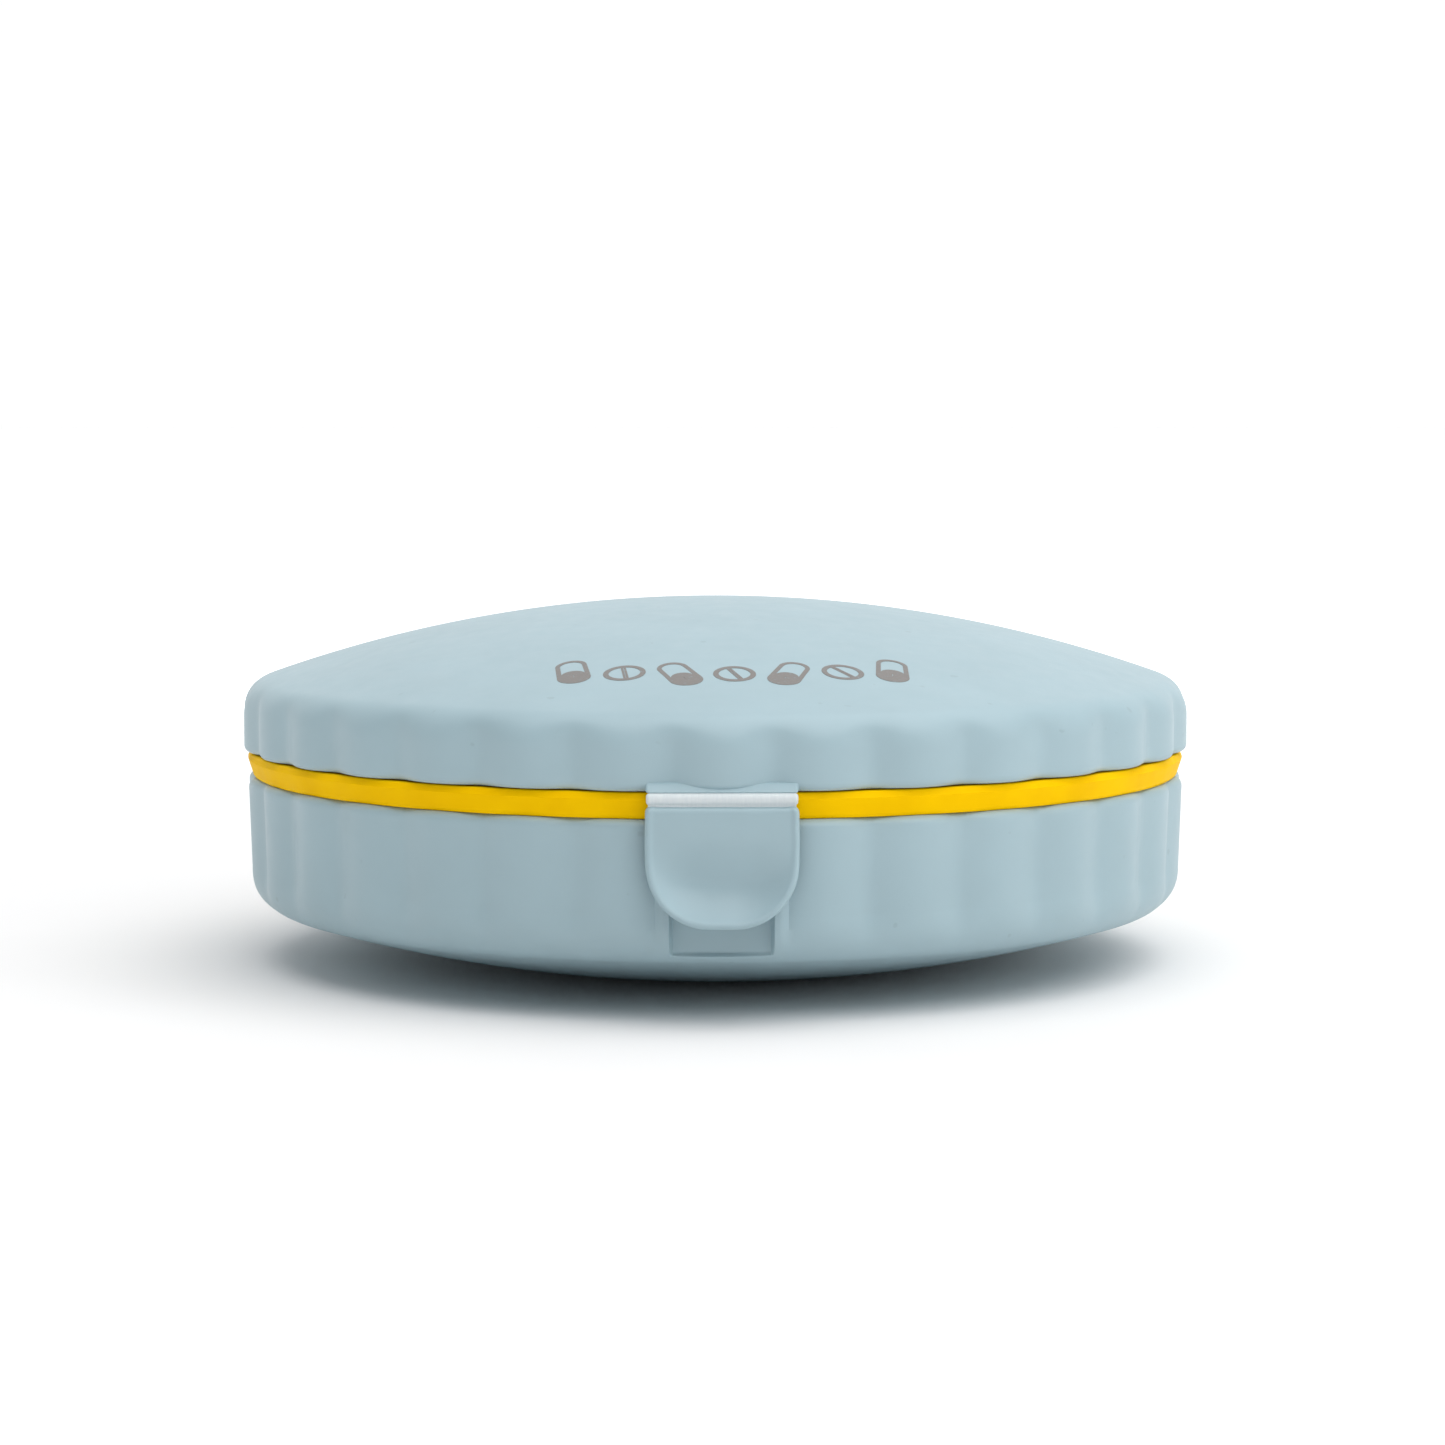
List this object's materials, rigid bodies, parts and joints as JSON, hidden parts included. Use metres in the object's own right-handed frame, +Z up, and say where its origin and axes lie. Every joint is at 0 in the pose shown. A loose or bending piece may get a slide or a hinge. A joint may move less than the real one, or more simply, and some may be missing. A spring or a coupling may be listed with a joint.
{
  "type": "travel pill organizer",
  "caption": "Round fluted travel pill organizer with a domed hinged lid, a seal ring, a divided lift-out tray and a flip-down front latch.",
  "frame": {"origin": "centre of the flat foot under the base, on the surface that the organizer rests on", "axes": "+Z up through the domed lid, -Y towards the latch, +Y towards the hinge, +X to the right seen from the latch"},
  "size_m": [0.094, 0.1004, 0.0356],
  "materials": {
    "shell": "fine satin, pale blue",
    "seal": "satin silicone, golden yellow",
    "tray": "satin, off-white",
    "strip": "satin, white",
    "steel": "drawn wire",
    "print": "pad-printed grey ink"
  },
  "bodies": {
    "base": {"base_shell": "shell", "seal_ring": "seal", "compartment_tray": "tray", "hinge_pin": "steel"},
    "lid": {"lid_shell": "shell", "lid_liner": "tray", "latch_hinge_strip": "strip"},
    "latch": {"latch_flap": "shell"}
  },
  "joints": [
    {"name": "lid_hinge", "type": "hinge", "parent": "base", "child": "lid", "pos_m": [0, 0.0493, 0.0198], "axis": [-1, 0, 0], "range_deg": [0, 115]},
    {"name": "latch_hinge", "type": "hinge", "parent": "lid", "child": "latch", "pos_m": [0, -0.04725, 0.02048], "axis": [-1, 0, 0], "range_deg": [0, 110]}
  ]
}
